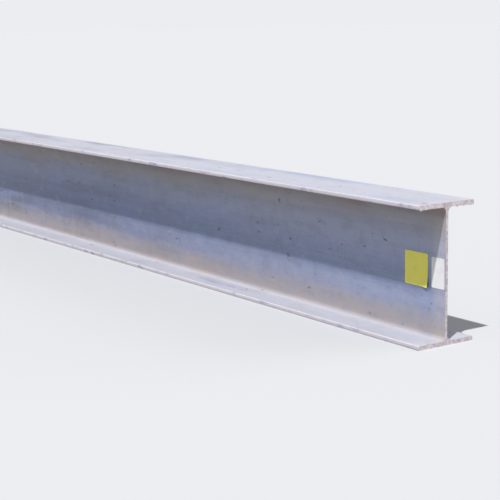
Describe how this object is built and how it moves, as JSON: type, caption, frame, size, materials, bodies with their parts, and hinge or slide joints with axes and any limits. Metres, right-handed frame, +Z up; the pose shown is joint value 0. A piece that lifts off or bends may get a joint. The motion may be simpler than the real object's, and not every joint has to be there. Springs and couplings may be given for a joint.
{
  "type": "steel h-beam",
  "caption": "Length of hot-rolled steel H-beam stock: upright web between two parallel flanges, filleted at the roots, sawn square at both ends.",
  "frame": {"origin": "underside of the lower flange, at the middle of the length, on the plane of the web", "axes": "+X along the bar towards one sawn end, +Y across the flanges, +Z up the web from the lower flange to the upper one"},
  "size_m": [6, 0.175, 0.35],
  "materials": {
    "mill_scale_steel": "satin"
  },
  "bodies": {
    "root": {"h_beam": "mill_scale_steel"}
  },
  "joints": []
}
